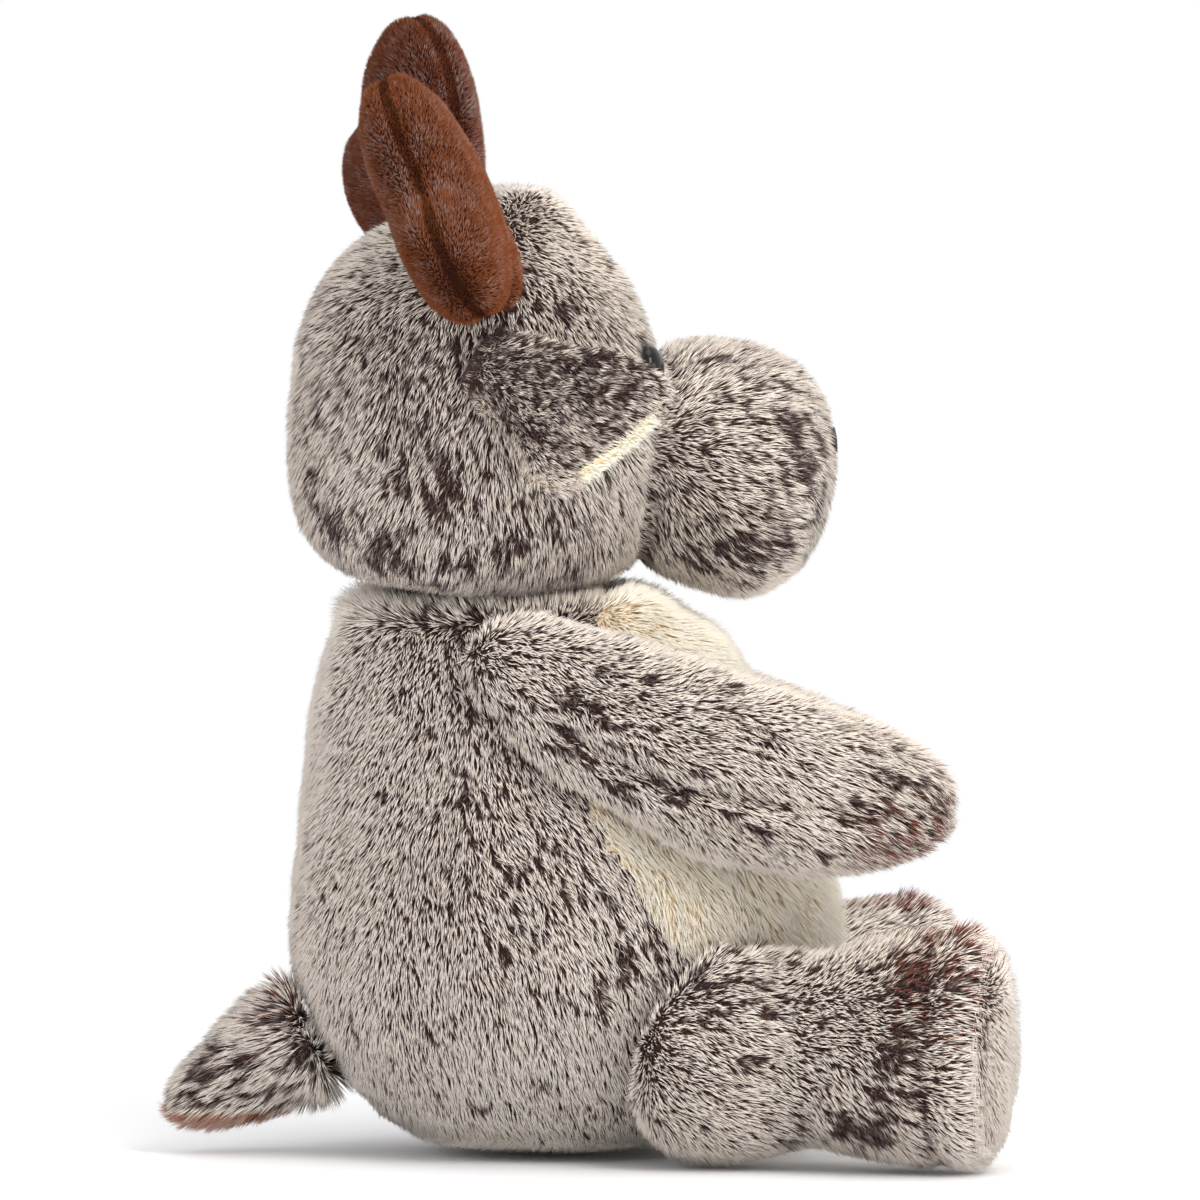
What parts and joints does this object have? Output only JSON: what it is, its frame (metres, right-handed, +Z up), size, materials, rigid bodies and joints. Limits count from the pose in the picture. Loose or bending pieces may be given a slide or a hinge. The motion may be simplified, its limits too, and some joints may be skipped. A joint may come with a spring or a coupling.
{
  "type": "plush deer",
  "caption": "Seated stuffed plush deer with a round head, bulbous muzzle, padded antlers, soft ears, sprung limbs and a short tail.",
  "frame": {"origin": "on the floor under the middle of the whole toy", "axes": "+X the way the body faces, +Y its left side, +Z up"},
  "size_m": [0.2624, 0.2258, 0.3561],
  "materials": {
    "plush": "frosted plush, pale tips over dark roots",
    "cream": "cream plush",
    "antler_brown": "short brown pile",
    "antler_brown_dark": "short dark brown pile",
    "tail_brown": "brown plush",
    "stuffing": "white polyester stuffing",
    "bag_cloth": "plain woven cloth round plastic pellets",
    "stitches": "dark satin stitches",
    "eye_black": "glossy black",
    "washer_white": "white moulded plastic"
  },
  "bodies": {
    "torso": {"torso_back_right": "plush", "torso_back_left": "plush", "belly_panel": "cream", "seat_panel": "plush", "torso_stuffing": "stuffing", "pellet_bag": "bag_cloth"},
    "neck": {"neck_stuffing": "stuffing"},
    "head": {"head_skin": "plush", "muzzle_skin": "plush", "head_stuffing": "stuffing", "eye_right": "eye_black", "eye_left": "eye_black", "eye_washer_right": "washer_white", "eye_washer_left": "washer_white", "nostril_right": "stitches", "nostril_left": "stitches"},
    "tail": {"tail_skin": "plush", "tail_underside": "tail_brown", "tail_stuffing": "stuffing"},
    "arm_right": {"arm_skin_right": "plush", "arm_stuffing_right": "stuffing"},
    "leg_right": {"leg_skin_right": "plush", "foot_sole_right": "plush", "leg_stuffing_right": "stuffing"},
    "ear_right": {"ear_back_right": "plush", "ear_lining_right": "cream"},
    "antler_right": {"antler_front_right": "antler_brown", "antler_back_right": "antler_brown_dark", "antler_stuffing_right": "stuffing"},
    "arm_left": {"arm_skin_left": "plush", "arm_stuffing_left": "stuffing"},
    "leg_left": {"leg_skin_left": "plush", "foot_sole_left": "plush", "leg_stuffing_left": "stuffing"},
    "ear_left": {"ear_back_left": "plush", "ear_lining_left": "cream"},
    "antler_left": {"antler_front_left": "antler_brown", "antler_back_left": "antler_brown_dark", "antler_stuffing_left": "stuffing"}
  },
  "joints": [
    {"name": "head_turn", "type": "hinge", "parent": "torso", "child": "neck", "pos_m": [-0.03119, 0, 0.182], "axis": [0, 0, 1], "range_deg": [-18, 18], "stiffness_Nm_per_rad": 0.5},
    {"name": "head_nod", "type": "hinge", "parent": "neck", "child": "head", "pos_m": [-0.03119, 0, 0.182], "axis": [-0.1207, 0.9829, 0.1392], "range_deg": [-7, 7], "stiffness_Nm_per_rad": 1.2},
    {"name": "arm_right_swing", "type": "hinge", "parent": "torso", "child": "arm_right", "pos_m": [-0.02419, -0.046, 0.157], "axis": [0, -1, 0], "range_deg": [-4, 32], "stiffness_Nm_per_rad": 0.5},
    {"name": "leg_right_spread", "type": "hinge", "parent": "torso", "child": "leg_right", "pos_m": [0.02781, -0.054, 0.037], "axis": [0, 0, -1], "range_deg": [-10, 10], "stiffness_Nm_per_rad": 0.6},
    {"name": "arm_left_swing", "type": "hinge", "parent": "torso", "child": "arm_left", "pos_m": [-0.02419, 0.046, 0.157], "axis": [0, -1, 0], "range_deg": [-4, 32], "stiffness_Nm_per_rad": 0.5},
    {"name": "leg_left_spread", "type": "hinge", "parent": "torso", "child": "leg_left", "pos_m": [0.02781, 0.054, 0.037], "axis": [0, 0, 1], "range_deg": [-10, 10], "stiffness_Nm_per_rad": 0.6},
    {"name": "ear_right_fold", "type": "hinge", "parent": "head", "child": "ear_right", "pos_m": [-0.04274, -0.06184, 0.24224], "axis": [0.017, -0.1381, 0.9903], "range_deg": [-14, 14], "stiffness_Nm_per_rad": 0.08},
    {"name": "antler_right_bend", "type": "hinge", "parent": "head", "child": "antler_right", "pos_m": [-0.03055, -0.05445, 0.26528], "axis": [-0.1207, 0.9829, 0.1392], "range_deg": [-8, 8], "stiffness_Nm_per_rad": 0.4},
    {"name": "ear_left_fold", "type": "hinge", "parent": "head", "child": "ear_left", "pos_m": [-0.05505, 0.03842, 0.25644], "axis": [0.017, -0.1381, 0.9903], "range_deg": [-14, 14], "stiffness_Nm_per_rad": 0.08},
    {"name": "antler_left_bend", "type": "hinge", "parent": "head", "child": "antler_left", "pos_m": [-0.04069, 0.02812, 0.27697], "axis": [-0.1207, 0.9829, 0.1392], "range_deg": [-8, 8], "stiffness_Nm_per_rad": 0.4},
    {"name": "tail_wag", "type": "hinge", "parent": "torso", "child": "tail", "pos_m": [-0.07719, 0, 0.038], "axis": [0, 0, 1], "range_deg": [-15, 15], "stiffness_Nm_per_rad": 0.15}
  ]
}
